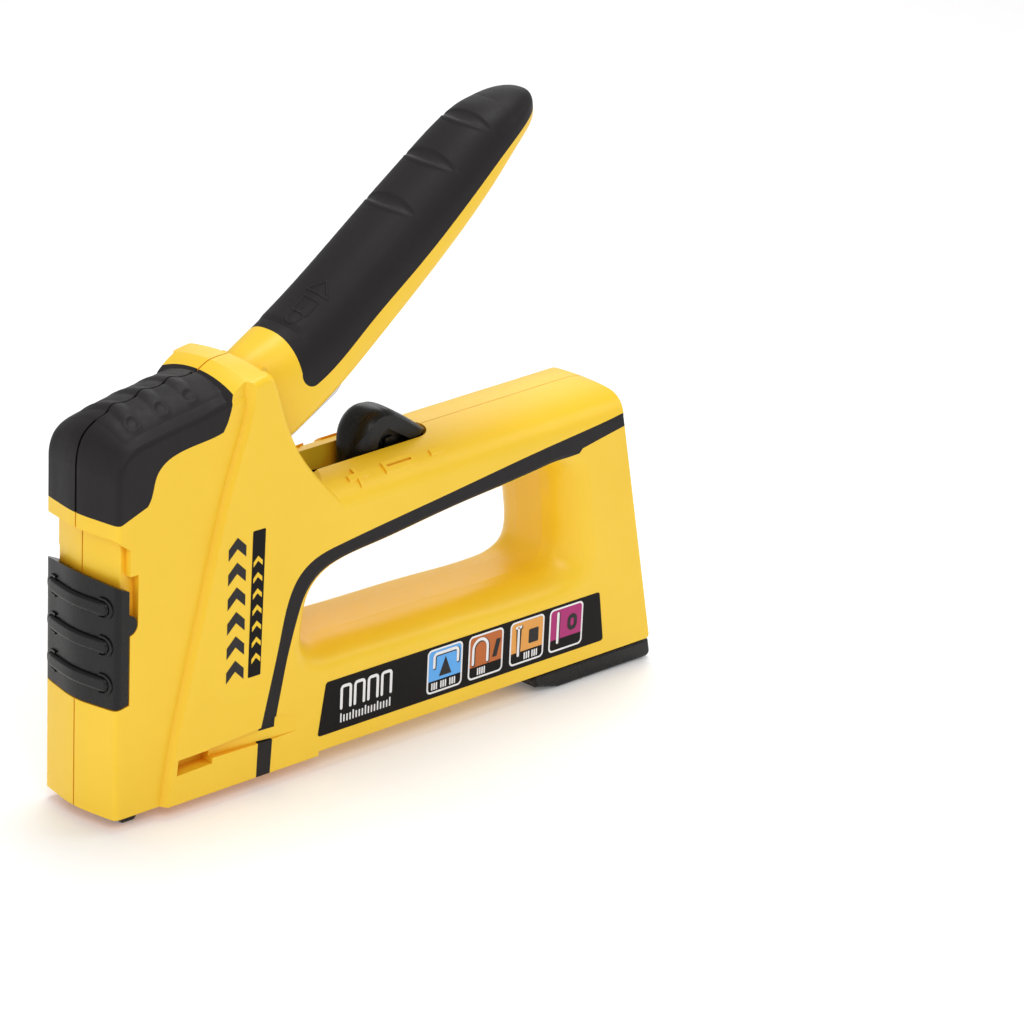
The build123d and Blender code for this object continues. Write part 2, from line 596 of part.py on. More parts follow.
# ------------------------------------------------------------------ hammer, blade, main spring
hammer = block(7.6, 10.0, -5.7, 5.7, SPRING_FOOT - 3, 70.0)
hammer += block(10.0, 14.2, -5.7, 5.7, reach[1] - 3.0, 72.6)
hammer += block(10.0, 26.6, -5.8, 5.8, SPRING_FOOT - 3, SPRING_FOOT)
hammer += Pos(SPRING_X, 0, SPRING_FOOT + 2) * Cylinder(3.0, 4)
hammer = hammer - rod(reach[0], reach[1], HAMMER_PIN_R, -20, 20)
hammer_pin = rod(reach[0], reach[1], HAMMER_PIN_R, -8.1, 8.1)
BLADE_HALF = 5.9
blade = block(6.5, 7.5, -BLADE_HALF, BLADE_HALF, 0.6, 61.0)
blade_rivets = Part()
for z in (50.5, 58.0):
    blade = blade - Pos(7, 0, z) * Rot(0, 90, 0) * Cylinder(1.5, 10)
    hammer = hammer - Pos(8.6, 0, z) * Rot(0, 90, 0) * Cylinder(1.5, 6)
    blade_rivets += Pos(8.25, 0, z) * Rot(0, 90, 0) * Cylinder(1.5, 3.5)
driver_blade = blade
main_spring = Pos(SPRING_X, 0, SPRING_FOOT + SPRING_WIRE / 2 + 0.05) * coil(
    SPRING_R, SPRING_WIRE, SPRING_TOP - 1.6 - SPRING_FOOT - SPRING_WIRE - 0.1, SPRING_TURNS
)
spring_cup = block(14.8, 27.4, -5.9, 5.9, SPRING_TOP - 1.6, SPRING_TOP - 0.05)
spring_cup += Pos(SPRING_X, 0, SPRING_TOP - 3.2) * Cylinder(3.0, 3.4)
bumper = block(13, 26, -6.4, 6.4, SHELF_Z, SPRING_FOOT - 3 - 0.05)
bumper = fillet(bumper.edges().filter_by(Axis.Z), 1.5)

# ------------------------------------------------------------------ nose
nose_guide = block(7.9, 9.3, -7.2, 7.2, 13.4, 40)
for side in (-1, 1):
    inner, outer = sorted((side * 6.2, side * 7.2))
    nose_guide += block(5.4, 9.3, inner, outer, 0.3, 40)
    inner, outer = sorted((side * 6.6, side * 9.1))
    foot_pad = block(6.0, 10.4, inner, outer, -3.0, 1.2)
    nose_guide += fillet(foot_pad.edges().filter_by(Axis.Y).group_by(Axis.Z)[0], 0.8)
gate = block(5.35, 6.2, -5.9, 5.9, 4.0, 50.0) + block(4.2, 5.35, -2.6, 2.6, 36.6, 45.4)
gate = gate + block(3.0, 5.35, -1.2, 1.2, 38.5, 43.5)
slider = slider - block(2.0, 5.0, -1.2, 1.2, 38.5, 43.5)

# ------------------------------------------------------------------ magazine drawer
rail = block(9.6, 157, -4.9, 4.9, 2.7, 10.9) - block(0, 170, -3.9, 3.9, 0, 9.9)
rail = rail - block(46, 150, -1.7, 1.7, 9, 20)
foot_side = face_of(
    [(129.6, 0.3)], [(131.2, -2.8)], [(138.9, -4.6)], [(168.7, -4.6)],
    [(170.1, -4.2), (170.6, -3.1)], [(169.8, 0.4)],
)
drawer_foot = prism(foot_side, 13.4)
foot_rim = [e for e in drawer_foot.edges() if e.center().Z > -2.0 or abs(e.center().Y) > 13]
drawer_foot = soften(drawer_foot, foot_rim, (0.9, 0.7, 0.4))
drawer_foot += block(136, 166.0, -4.7, 4.7, -1.6, 2.6)
plug_side = face_of([(157.2, 1.9)], [(157.2, 15.2)], [(165.8, 15.2)], [(168.6, 1.9)])
drawer_foot += prism(plug_side, 8.5)
drawer_foot += block(153, 157.3, -3.7, 3.7, 2.6, 9.7)
ROD_Z = 6.2
ROD_R = 1.2
drawer_foot = drawer_foot - Pos(157, 0, ROD_Z) * Rot(0, 90, 0) * Cylinder(ROD_R, 10)
PUSHER_X = (50.3, 59.0)
pusher_rod = Pos((48 + 162) / 2, 0, ROD_Z) * Rot(0, 90, 0) * Cylinder(ROD_R, 162 - 48)
pusher = block(*PUSHER_X, -5.9, 5.9, 3.0, 12.0) - block(0, 200, -5.1, 5.1, 0, 11.1)
pusher += block(*PUSHER_X, -1.5, 1.5, 8.0, 11.4) + block(*PUSHER_X, -3.6, 3.6, 3.2, 9.2)
pusher = pusher - Pos(55, 0, ROD_Z) * Rot(0, 90, 0) * Cylinder(ROD_R + PIN_CLEAR, 20)
pusher_spring = Pos(PUSHER_X[1] + 0.4, 0, ROD_Z) * Rot(0, 90, 0) * coil(2.3, 0.7, 152.6 - PUSHER_X[1] - 0.4, 26)
rail_stop = Pos(47.2, 0, ROD_Z) * Rot(0, 90, 0) * Cylinder(2.2, 1.6)
pusher_rod = pusher_rod + rail_stop
half_crown = STAPLE_CROWN / 2
staple_strip = block(STRIP_FROM, STRIP_TO, -half_crown, half_crown, 11.7 - STAPLE_LEG, 11.7)
staple_strip = staple_strip - block(0, 60, -half_crown + 0.5, half_crown - 0.5, 0, 11.2)

# ------------------------------------------------------------------ power adjuster
FIN_FLOOR = 58.8
FIN_HALF = 5.0
FIN_ROUND = 0.1  # how much smaller the fin's side faces are than its middle


def fin_outline(y):
    """Side view of the fin, drawn in towards its middle near the sides."""
    pull = FIN_ROUND * abs(y / FIN_HALF) ** 3

    def drawn(*points):
        return [(x + (89.0 - x) * pull, z + (62.0 - z) * pull) for x, z in points]

    outline = face_of(
        [(77.4, FIN_FLOOR)],
        drawn((77.4, 65.0), (78.4, 69.2), (80.0, 72.6), (82.6, 75.2), (86.3, 75.9)),
        drawn((88.4, 75.6), (90.4, 74.6), (95.0, 71.8), (100.9, 67.8)),
        [(101.0, FIN_FLOOR)],
    )
    return outline.outer_wire().moved(Location((0, y, 0)))


fin = lofted([fin_outline(step * FIN_HALF) for step in STEPS])
fin = fin & (Pos(89.2, 0, 50) * extrude(SlotOverall(23.8, 2 * FIN_HALF), 40))
fin_pocket = face_of([(83.8, 62)], [(83.9, 66.0), (84.6, 69.6), (87.0, 71.4)], [(95.4, 66.6)], [(95.4, 62)])
fin_rib = face_of([(86.8, 60)], [(87.2, 68.6)], [(89.4, 68.8)], [(93.6, 65.6)], [(93.6, 60)])
fin = fin - both_sides(fin_pocket, 3.3, 8)
fin = fin + both_sides(fin_rib, 2.0, 4.0)
adjuster_plate = block(70.6, 112.0, -8.4, 8.4, FIN_FLOOR, FIN_FLOOR + 2.1)
power_adjuster = fin + adjuster_plate
adjuster_bar = block(48.0, 84.0, -3.9, 3.9, FIN_FLOOR - 2.4, FIN_FLOOR)
adjuster_bar += block(78, 82, -2.4, 2.4, FIN_FLOOR, FIN_FLOOR + 0.6)
power_adjuster = power_adjuster - block(78, 82, -2.4, 2.4, FIN_FLOOR - 1, FIN_FLOOR + 0.6)

# ------------------------------------------------------------------ screws
screws = Part()
for x, z in SCREWS:
    screw = rod(x, z, SCREW_R, -9.5, 10.6) + rod(x, z, SCREW_HEAD_R, 10.5, 12.6)
    screw = screw - Pos(x, 12.4, z) * Rot(90, 0, 0) * extrude(RegularPolygon(1.4, 6), 1.6, both=True)
    screws += screw

# ------------------------------------------------------------------ files
cap_left, cap_right = halves(cap)
stripe_left, stripe_right = halves(stripe)
toe_left, toe_right = halves(toe)
NODES = {
    "housing_left": housing_left,
    "housing_right": housing_right,
    "cap_left": cap_left,
    "cap_right": cap_right,
    "stripe_left": stripe_left + toe_left,
    "stripe_right": stripe_right + toe_right,
    "label_left": labels[0],
    "label_right": labels[1],
    "badge_left": badges[0],
    "badge_right": badges[1],
    "housing_screws": screws,
    "nose_guide": nose_guide,
    "spring_cup": spring_cup,
    "bumper": bumper,
    "pivot_pin": pivot_pin,
    "return_spring": return_spring,
    "main_spring": main_spring,
    "lever_core": lever_core,
    "lever_grip": lever_grip,
    "lever_arms": arms,
    "lever_rivets": rivets,
    "hammer": hammer,
    "hammer_pin": hammer_pin,
    "driver_blade": driver_blade,
    "blade_rivets": blade_rivets,
    "front_slider": slider,
    "slider_gate": gate,
    "power_adjuster": power_adjuster,
    "adjuster_bar": adjuster_bar,
    "magazine_rail": rail,
    "drawer_foot": drawer_foot,
    "pusher_rod": pusher_rod,
    "pusher": pusher,
    "pusher_spring": pusher_spring,
    "staple_strip": staple_strip,
}
os.makedirs("parts", exist_ok=True)
for name, shape in NODES.items():
    export_step(Pos(-ORIGIN_X, 0, 0) * shape, f"parts/{name}.step")
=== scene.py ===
import json
from math import atan2, cos, hypot, pi, radians, sin

import bpy
from mathutils import Matrix, Vector
from mathutils.bvhtree import BVHTree


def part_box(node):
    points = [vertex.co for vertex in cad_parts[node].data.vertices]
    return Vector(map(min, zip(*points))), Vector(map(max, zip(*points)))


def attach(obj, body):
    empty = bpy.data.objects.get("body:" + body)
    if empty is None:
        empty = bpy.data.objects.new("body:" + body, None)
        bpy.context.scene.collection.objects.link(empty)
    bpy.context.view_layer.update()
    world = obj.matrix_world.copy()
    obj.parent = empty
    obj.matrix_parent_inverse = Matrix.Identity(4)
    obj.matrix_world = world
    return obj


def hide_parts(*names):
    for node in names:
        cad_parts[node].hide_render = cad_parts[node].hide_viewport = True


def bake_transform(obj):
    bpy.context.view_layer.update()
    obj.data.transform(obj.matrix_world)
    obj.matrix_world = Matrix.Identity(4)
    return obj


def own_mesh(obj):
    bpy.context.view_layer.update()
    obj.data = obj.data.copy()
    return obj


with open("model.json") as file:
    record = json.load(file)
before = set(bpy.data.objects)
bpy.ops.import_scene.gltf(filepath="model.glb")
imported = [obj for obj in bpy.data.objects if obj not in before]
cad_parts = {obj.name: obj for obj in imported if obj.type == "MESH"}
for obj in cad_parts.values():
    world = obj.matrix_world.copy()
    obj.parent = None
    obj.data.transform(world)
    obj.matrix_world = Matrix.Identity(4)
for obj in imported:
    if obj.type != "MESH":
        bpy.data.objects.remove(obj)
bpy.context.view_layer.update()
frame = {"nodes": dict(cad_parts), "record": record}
NODES = frame["nodes"]
MM = 0.001

scene = bpy.context.scene
scene.view_settings.view_transform = "Standard"
scene.view_settings.look = "None"

# ------------------------------------------------------------------ camera
CAMERA_AT = (-0.5298, -0.6613, 0.4010)
CAMERA_RIGHT = (0.71893, -0.69364, 0.04456)
CAMERA_UP = (0.22158, 0.28948, 0.93118)
CAMERA_BACK = (-0.65881, -0.65959, 0.36181)
LENS_MM = 146.78

camera_data = bpy.data.cameras.new("camera")
camera_data.lens = LENS_MM
camera_data.sensor_width = 36.0
camera_data.clip_start = 0.01
camera_data.clip_end = 50.0
camera = bpy.data.objects.new("camera", camera_data)
turn = Matrix((CAMERA_RIGHT, CAMERA_UP, CAMERA_BACK)).transposed()
camera.matrix_world = Matrix.Translation(CAMERA_AT) @ turn.to_4x4()
scene.collection.objects.link(camera)
scene.camera = camera

# ------------------------------------------------------------------ materials


class Shader:
    """A principled material and short ways to add nodes to it."""

    def __init__(self, name, **sockets):
        self.material = bpy.data.materials.new(name)
        self.material.use_nodes = True
        self.tree = self.material.node_tree
        self.bsdf = self.tree.nodes["Principled BSDF"]
        self.place = self.node("ShaderNodeTexCoord").outputs["Object"]
        for socket, value in sockets.items():
            self.bsdf.inputs[socket.replace("_", " ")].default_value = value

    def node(self, kind, **settings):
        made = self.tree.nodes.new(kind)
        for key, value in settings.items():
            setattr(made, key, value)
        return made

    def link(self, source, target):
        self.tree.links.new(source, target)

    def feed(self, socket, source):
        self.link(source, self.bsdf.inputs[socket])

    def noise(self, scale, detail=3.0, rough=0.55, stretch=(1, 1, 1)):
        """Noise whose features are about 1 / scale metres across."""
        mapping = self.node("ShaderNodeMapping")
        mapping.inputs["Scale"].default_value = stretch
        self.link(self.place, mapping.inputs["Vector"])
        tex = self.node("ShaderNodeTexNoise")
        tex.inputs["Scale"].default_value = scale
        tex.inputs["Detail"].default_value = detail
        tex.inputs["Roughness"].default_value = rough
        self.link(mapping.outputs["Vector"], tex.inputs["Vector"])
        return tex.outputs["Fac"]

    def cells(self, scale):
        tex = self.node("ShaderNodeTexVoronoi", feature="SMOOTH_F1")
        tex.inputs["Scale"].default_value = scale
        self.link(self.place, tex.inputs["Vector"])
        return tex.outputs["Distance"]

    def spread(self, source, low, high, new_low, new_high):
        ranged = self.node("ShaderNodeMapRange")
        limits = {"From Min": low, "From Max": high, "To Min": new_low, "To Max": new_high}
        for socket, value in limits.items():
            ranged.inputs[socket].default_value = value
        self.link(source, ranged.inputs["Value"])
        return ranged.outputs["Result"]

    def mix(self, factor, a, b, blend="MIX"):
        """Colour a to b by factor; each may be a colour or a socket."""
        mixer = self.node("ShaderNodeMix", data_type="RGBA", blend_type=blend)
        for socket, value in ((mixer.inputs[0], factor), (mixer.inputs[6], a), (mixer.inputs[7], b)):
            if isinstance(value, bpy.types.NodeSocket):
                self.link(value, socket)
            elif isinstance(value, (int, float)):
                socket.default_value = value
            else:
                socket.default_value = (*value, 1.0)
        return mixer.outputs[2]

    def occlusion(self, reach):
        ao = self.node("ShaderNodeAmbientOcclusion", samples=8)
        ao.inputs["Distance"].default_value = reach
        return ao.outputs["AO"]

    def bump(self, *layers):
        """Layers of (height socket, depth in metres, strength)."""
        normal = None
        for height, depth, strength in layers:
            step = self.node("ShaderNodeBump")
            step.inputs["Strength"].default_value = strength
            step.inputs["Distance"].default_value = depth
            self.link(height, step.inputs["Height"])
            if normal is not None:
                self.link(normal, step.inputs["Normal"])
            normal = step.outputs["Normal"]
        self.feed("Normal", normal)


def moulded(name, colour, shade, painted_crease_shade, roughness, grain, depth, painted_hollow_shade=None, **sockets):
    """Moulded plastic or rubber: fine spark-eroded grain, slow random change of colour, and painted shade
    in creases, where an ambient-occlusion mask darkens the colour.

    With a hollow colour given, deeper hollows are painted that colour too, as painted shade.
    """
    s = Shader(name, **sockets)
    drift_and_hollow_shade = s.mix(s.spread(s.noise(38, 4), 0.3, 0.7, 0.0, 1.0), colour, shade)
    # painted shade: with a hollow colour, deeper hollows (a wide ambient-occlusion mask) are painted that
    # colour
    if painted_hollow_shade:
        drift_and_hollow_shade = s.mix(s.spread(s.occlusion(0.012), 0.02, 0.2, 0.0, 1.0), painted_hollow_shade, drift_and_hollow_shade)
    # painted shade: creases (a narrow ambient-occlusion mask) are painted the darker crease colour
    s.feed("Base Color", s.mix(s.spread(s.occlusion(0.0035), 0.28, 0.85, 0.0, 1.0), painted_crease_shade, drift_and_hollow_shade))
    scuffs = s.noise(420, 5, 0.7, (1, 1, 0.25))
    s.feed("Roughness", s.spread(scuffs, 0.35, 0.75, roughness[0], roughness[1]))
    s.bump((s.noise(grain, 2, 0.6), depth, 0.5), (s.noise(160, 2), depth * 1.5, 0.25))
    return s.material


def steel(name, colour, roughness, along, **sockets):
    """Cold-rolled or drawn steel with fine lines along one axis."""
    s = Shader(name, Metallic=1.0, **sockets)
    stretch = tuple(0.04 if axis == along else 1.0 for axis in "xyz")
    lines = s.noise(5200, 3, 0.6, stretch)
    blotch = s.noise(90, 4)
    dark = tuple(0.62 * c for c in colour)
    s.feed("Base Color", s.mix(s.spread(blotch, 0.35, 0.7, 0.0, 0.6), colour, dark))
    s.feed("Roughness", s.spread(lines, 0.3, 0.7, roughness[0], roughness[1]))
    s.bump((lines, 0.00002, 0.4))
    return s.material


# in each moulded material the third colour is painted crease shade, and the shell's last colour is painted
# hollow shade (orange shade inside the yellow plastic)
MATERIALS = {
    "shell": moulded(
        "shell", (0.93, 0.60, 0.026), (0.90, 0.57, 0.021), (0.84, 0.36, 0.008),
        (0.34, 0.46), 3200, 0.00003, (0.84, 0.25, 0.012), Specular_IOR_Level=0.45,
    ),
    "soft_rubber": moulded(
        "soft_rubber", (0.019, 0.017, 0.018), (0.016, 0.014, 0.015), (0.007, 0.006, 0.006),
        (0.46, 0.58), 4200, 0.00005, Specular_IOR_Level=0.15,
    ),
    "hard_black": moulded(
        "hard_black", (0.007, 0.007, 0.0075), (0.005, 0.005, 0.0055), (0.002, 0.002, 0.002),
        (0.24, 0.36), 2600, 0.00008, Specular_IOR_Level=0.26,
    ),
    "print": moulded(
        "print", (0.006, 0.0045, 0.0045), (0.005, 0.004, 0.004), (0.005, 0.004, 0.004),
        (0.3, 0.4), 6000, 0.00001, Specular_IOR_Level=0.1,
    ),
    "plate_steel": steel("plate_steel", (0.62, 0.62, 0.64), (0.24, 0.42), "x"),
    "spring_steel": steel("spring_steel", (0.36, 0.36, 0.38), (0.25, 0.4), "z"),
    "screw_steel": steel("screw_steel", (0.5, 0.5, 0.52), (0.25, 0.4), "y"),
    "black_steel": steel("black_steel", (0.06, 0.06, 0.062), (0.3, 0.5), "z"),
    "staple_wire": steel("staple_wire", (0.7, 0.7, 0.72), (0.2, 0.34), "z"),
}


def ink(name, colour):
    """Screen-printed ink: flat colour with a slight unevenness and a fine texture; its darker tone is also
    painted into creases as painted shade.
    """
    shade = tuple(0.93 * c for c in colour)
    # the darker tone serves both the uneven ink and the painted shade in creases
    return moulded(name, colour, shade, shade, (0.38, 0.5), 5200, 0.000006, Specular_IOR_Level=0.3)


INKS = {
    "white": ink("ink_white", (0.86, 0.85, 0.86)),
    "blue": ink("ink_blue", (0.115, 0.42, 0.90)),
    "brown": ink("ink_brown", (0.52, 0.135, 0.025)),
    "orange": ink("ink_orange", (0.80, 0.36, 0.075)),
    "magenta": ink("ink_magenta", (0.42, 0.018, 0.165)),
    "black": ink("ink_black", (0.010, 0.008, 0.009)),
    "yellow": ink("ink_yellow", (0.93, 0.60, 0.026)),
}
SLOT_OF = {part["node"]: part["material_slot"] for part in frame["record"]["subparts"]}


def finish_with(obj, material):
    obj.data.materials.clear()
    obj.data.materials.append(material)


for node_name, obj in NODES.items():
    finish_with(obj, MATERIALS[SLOT_OF[node_name]])

# ------------------------------------------------------------------ printed marks
NOSE_X = 2.6  # printed marks count x from the front of the nose, this many millimetres ahead of the origin
PANEL = 14.35 * MM  # outer face of the printed panels
SHELL_PANEL = 14.30 * MM  # side of the housing
INK_T = 0.05 * MM
ARC_STEPS = 6


def rounded(x0, x1, z0, z1, radius):
    """Rectangle with round corners, as a loop of points in millimetres."""
    loop = []
    for cx, cz, start in ((x1 - radius, z1 - radius, 0), (x0 + radius, z1 - radius, 90),
                          (x0 + radius, z0 + radius, 180), (x1 - radius, z0 + radius, 270)):
        for step in range(ARC_STEPS + 1):
            angle = radians(start + 90 * step / ARC_STEPS)
            loop.append((cx + radius * cos(angle), cz + radius * sin(angle)))
    return loop


def stroke(points, width):
    """Outline of a line of this width through the points, with round ends and joints."""
    left, right = [], []
    for index, (x, z) in enumerate(points):
        ahead = points[min(index + 1, len(points) - 1)]
        behind = points[max(index - 1, 0)]
        dx, dz = ahead[0] - behind[0], ahead[1] - behind[1]
        length = hypot(dx, dz)
        nx, nz = -dz / length * width / 2, dx / length * width / 2
        left.append((x + nx, z + nz))
        right.append((x - nx, z - nz))

    def round_end(centre, start):
        first = atan2(start[1] - centre[1], start[0] - centre[0])
        angles = [first - pi * k / 6 for k in range(1, 6)]
        return [(centre[0] + width / 2 * cos(a), centre[1] + width / 2 * sin(a)) for a in angles]

    return left + round_end(points[-1], left[-1]) + right[::-1] + round_end(points[0], right[0])


def arch(x0, x1, foot, spring):
    """Points of a round-topped staple: up one leg, round and down the other."""
    middle, radius = (x0 + x1) / 2, (x1 - x0) / 2
    bend = [(middle - radius * cos(pi * k / 12), spring + radius * sin(pi * k / 12)) for k in range(13)]
    return [(x0, foot), *bend, (x1, foot)]


def squared(x0, x1, foot, top, radius=0.9):
    """Points of a flat-topped staple."""
    bend = [(radius - radius * cos(pi * k / 8), radius - radius * sin(pi * k / 8)) for k in range(5)]
    left = [(x0 + dx, top - dz) for dx, dz in bend]
    right = [(x1 - dx, top - dz) for dx, dz in reversed(bend)]
    return [(x0, foot), *left, *right, (x1, foot)]


def print_on(name, loops, colour, base, layer=1):
    """Ink laid on both sides of the tool. Loops are in millimetres, and a loop inside another is a hole."""
    for side in (-1, 1):
        curve = bpy.data.curves.new(name, "CURVE")
        curve.dimensions = "2D"
        curve.fill_mode = "BOTH"
        curve.extrude = INK_T / 2
        for loop in loops:
            spline = curve.splines.new("POLY")
            spline.points.add(len(loop) - 1)
            for point, (x, z) in zip(spline.points, loop):
                point.co = ((x - NOSE_X) * MM, z * MM, 0, 1)
            spline.use_cyclic_u = True
        shape = bpy.data.objects.new(name, curve)
        scene.collection.objects.link(shape)
        bpy.context.view_layer.update()
        mesh = bpy.data.meshes.new_from_object(shape)
        bpy.data.objects.remove(shape)
        at = side * (base + INK_T * (layer - 0.5))
        for vertex in mesh.vertices:
            x, z, depth = vertex.co
            vertex.co = (x, at + depth, z)
        piece = bpy.data.objects.new(f"{name}_{'left' if side < 0 else 'right'}", mesh)
        scene.collection.objects.link(piece)
        finish_with(piece, INKS[colour])
        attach(piece, "housing")


TILE_Z = (5.95, 17.2)
TILE_W = 11.3
BAND_TOP = 9.1
TILES = (
    ("staple_flat", 93.5, "blue", [squared(95.6, 103.2, 12.6, 15.9)]),
    ("staple_round", 106.8, "brown", [arch(108.2, 112.9, 10.0, 13.6)]),
    ("brad", 120.4, "orange", [[(123.1, 8.4), (123.1, 15.4)], [(122.4, 15.6), (123.8, 15.6)]]),
    ("nail", 133.5, "magenta", [[(136.3, 8.3), (136.3, 15.8)]]),
)
for name, x, colour, lines in TILES:
    outer = rounded(x, x + TILE_W, *TILE_Z, 1.3)
    inner = rounded(x + 0.45, x + TILE_W - 0.45, TILE_Z[0] + 0.45, TILE_Z[1] - 0.45, 0.95)
    print_on(f"{name}_frame", [outer, inner], "white", PANEL)
    field = rounded(x + 0.5, x + TILE_W - 0.5, BAND_TOP - 3, TILE_Z[1] - 0.5, 0.9)
    field = [point for point in field if point[1] > BAND_TOP]
    field += [(x + 0.5, BAND_TOP), (x + TILE_W - 0.5, BAND_TOP)]
    print_on(f"{name}_field", [field], colour, PANEL)
    shadow = [[(px + 0.25, pz - 0.2) for px, pz in line] for line in lines]
    print_on(f"{name}_shade", [stroke(line, 1.05) for line in shadow], "black", PANEL, 2)
    print_on(f"{name}_picture", [stroke(line, 0.75) for line in lines], "white", PANEL, 3)

# plain shapes where the tool has its own codes: a sign in each field and rows of bars in the bands
SIGNS = (
    ("sign_triangle", [[(97.3, 9.9), (101.3, 9.9), (99.3, 14.6)]]),
    ("sign_slant", [[(114.6, 10.2), (116.0, 10.2), (117.2, 14.6), (115.8, 14.6)]]),
    ("sign_square", [rounded(126.6, 129.8, 10.6, 14.2, 0.3)]),
    ("sign_ring", [rounded(139.6, 142.8, 10.4, 14.6, 1.5), rounded(140.6, 141.8, 11.5, 13.5, 0.55)]),
)
for name, loops in SIGNS:
    print_on(name, loops, "black", PANEL, 2)
BARS = ((95.0, 3), (97.9, 3), (100.8, 3), (109.8, 4), (125.2, 3), (127.8, 3))
for index, (x, count) in enumerate(BARS):
    bars = [rounded(x + 0.72 * k, x + 0.72 * k + 0.42, 6.8, 8.6, 0.15) for k in range(count)]
    print_on(f"bars_{index}", bars, "white", PANEL)
FOUR = [stroke(squared(66.6 + 4.2 * k, 69.4 + 4.2 * k, 10.2, 15.6, 0.7), 0.75) for k in range(4)]
print_on("four_staples", FOUR, "white", PANEL)
TICKS = [rounded(66.4 + 0.95 * k, 66.8 + 0.95 * k, 6.6, 8.4 if k % 4 else 8.9, 0.15) for k in range(17)]
print_on("ticks", TICKS, "white", PANEL)


def chevron(x0, x1, z, rise, height):
    """A V lying along the panel, pointing up."""
    middle = (x0 + x1) / 2
    lower = [(x0, z), (middle, z + rise), (x1, z)]
    return [*lower, *[(px, pz + height) for px, pz in reversed(lower)]]


SMALL_VS = [chevron(38.9, 41.5, 28.6 + 3.9 * k, 1.3, 1.15) for k in range(7)]
LARGE_VS = [chevron(31.6, 36.7, 25.6 + 5.9 * k, 2.4, 2.7) for k in range(6)]
print_on("chevrons_yellow", SMALL_VS, "yellow", PANEL)
print_on("chevrons_black", LARGE_VS, "black", SHELL_PANEL)

# ------------------------------------------------------------------ soft relief on the rubber


def smooth_step(low, high, value):
    t = min(max((value - low) / (high - low), 0.0), 1.0)
    return t * t * (3 - 2 * t)


DROP_FROM = 20 * MM  # height over the origin that the grid is dropped from
DROP_REACH = 50 * MM


def relief(name, node, body, origin, along, across, up, size, cells, height, skirt=0.0):
    """A patch laid on a CAD node: a grid dropped on its surface and raised by height(s, t) in metres.

    s and t run over size, from the origin, along and across. Where the height is negative the patch dips
    under the surface, so its border doesn't show. With a skirt the t = 0 edge turns down by that much.
    """
    source = NODES[node].data
    tree = BVHTree.FromPolygons([v.co for v in source.vertices], [p.vertices for p in source.polygons])
    origin, along, across, up = (Vector(v) for v in (origin, along, across, up))
    points, faces, index = [], [], {}
    rows, columns = cells
    for i in range(rows + 1):
        for j in range(columns + 1):
            s, t = size[0] * i / rows, size[1] * j / columns
            start = origin + along * s + across * t + up * DROP_FROM
            hit = tree.ray_cast(start, -up, DROP_REACH)[0]
            if hit is None:
                continue
            index[i, j] = len(points)
            points.append(hit + up * height(s, t))
            if skirt and j == 0:
                index[i, -1] = len(points)
                points.append(hit - up * skirt)
    first = -1 if skirt else 0
    for i in range(rows):
        for j in range(first, columns):
            corners = ((i, j), (i + 1, j), (i + 1, j + 1), (i, j + 1))
            if all(c in index for c in corners):
                faces.append([index[c] for c in corners])
    mesh = bpy.data.meshes.new(name)
    mesh.from_pydata(points, [], faces)
    if across.cross(along).dot(up) > 0:
        mesh.flip_normals()
    mesh.shade_smooth()
    piece = bpy.data.objects.new(name, mesh)
    scene.collection.objects.link(piece)
    finish_with(piece, MATERIALS["soft_rubber"])
    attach(piece, body)
    return piece


UNDER = -0.06 * MM  # a patch's border lies this deep under the surface
CAP_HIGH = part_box("cap_left")[1]
CAP_START = 1.6 * MM
CAP_WIDTH = 10.6 * MM
CAP_SEAM_HALF = 0.32 * MM
WAVES_X = [(x - NOSE_X) * MM for x in (10.5, 18.35, 26.2)]
WAVE_PITCH = 7.85 * MM
WAVE_LEAN = 0.8 / 7.0  # how far the waves lean forward for each step sideways
WAVE_SKIN = 0.14 * MM  # the whole patch stands this far off the cap
WAVE_RISE = 0.42
WAVE_HALF = 2.2 * MM
DIMPLE_AT = 6.7 * MM
DIMPLE_SINK = 0.2
DIMPLE_HALF = (1.5 * MM, 1.6 * MM)
SEAM_WANDER = 0.6 * MM


def seam_shift(x):
    """Sideways wander of the joint between the cap halves."""
    wave = SEAM_WANDER * cos(2 * pi * (x - WAVES_X[0]) / WAVE_PITCH)
    return wave * smooth_step(0.0, 3 * MM, x - 2.4 * MM)


def cap_relief(side):
    """Three raised waves on one half of the cap, each ending in a dimple."""
    length = CAP_HIGH[0] - 0.5 * MM - CAP_START

    def height(s, t):
        tongue = 0.0
        dimple = 0.0
        for centre in WAVES_X:
            off = CAP_START + s - centre + WAVE_LEAN * t
            ridge = max(0.0, 1 - (off / WAVE_HALF) ** 2) ** 1.5
            tongue = max(tongue, ridge * (1 - smooth_step(7.2 * MM, 9.6 * MM, t)))
            inside = 1 - (off / DIMPLE_HALF[0]) ** 2 - ((t - DIMPLE_AT) / DIMPLE_HALF[1]) ** 2
            dimple = max(dimple, max(0.0, inside) ** 0.6)
        skin = WAVE_SKIN * (1 - smooth_step(8.2 * MM, 10.4 * MM, t)) * smooth_step(0, 2.4 * MM, s)
        skin *= smooth_step(0, 1.5 * MM, length - s)
        wave = (WAVE_RISE * tongue * (1 - dimple) - DIMPLE_SINK * dimple) * MM
        raised = skin + wave * (skin / WAVE_SKIN)
        return max(raised, 0.015 * MM) + UNDER * (1 - smooth_step(0, 0.10 * MM, skin))

    origin = (CAP_START, side * CAP_SEAM_HALF, CAP_HIGH[2])
    half = "left" if side < 0 else "right"
    along, across, up = (1, 0, 0), (0, side, 0), (0, 0, 1)
    return relief(
        f"cap_waves_{half}", f"cap_{half}", "housing", origin, along, across, up,
        (length, CAP_WIDTH), (110, 56), height, 0.7 * MM,
    )


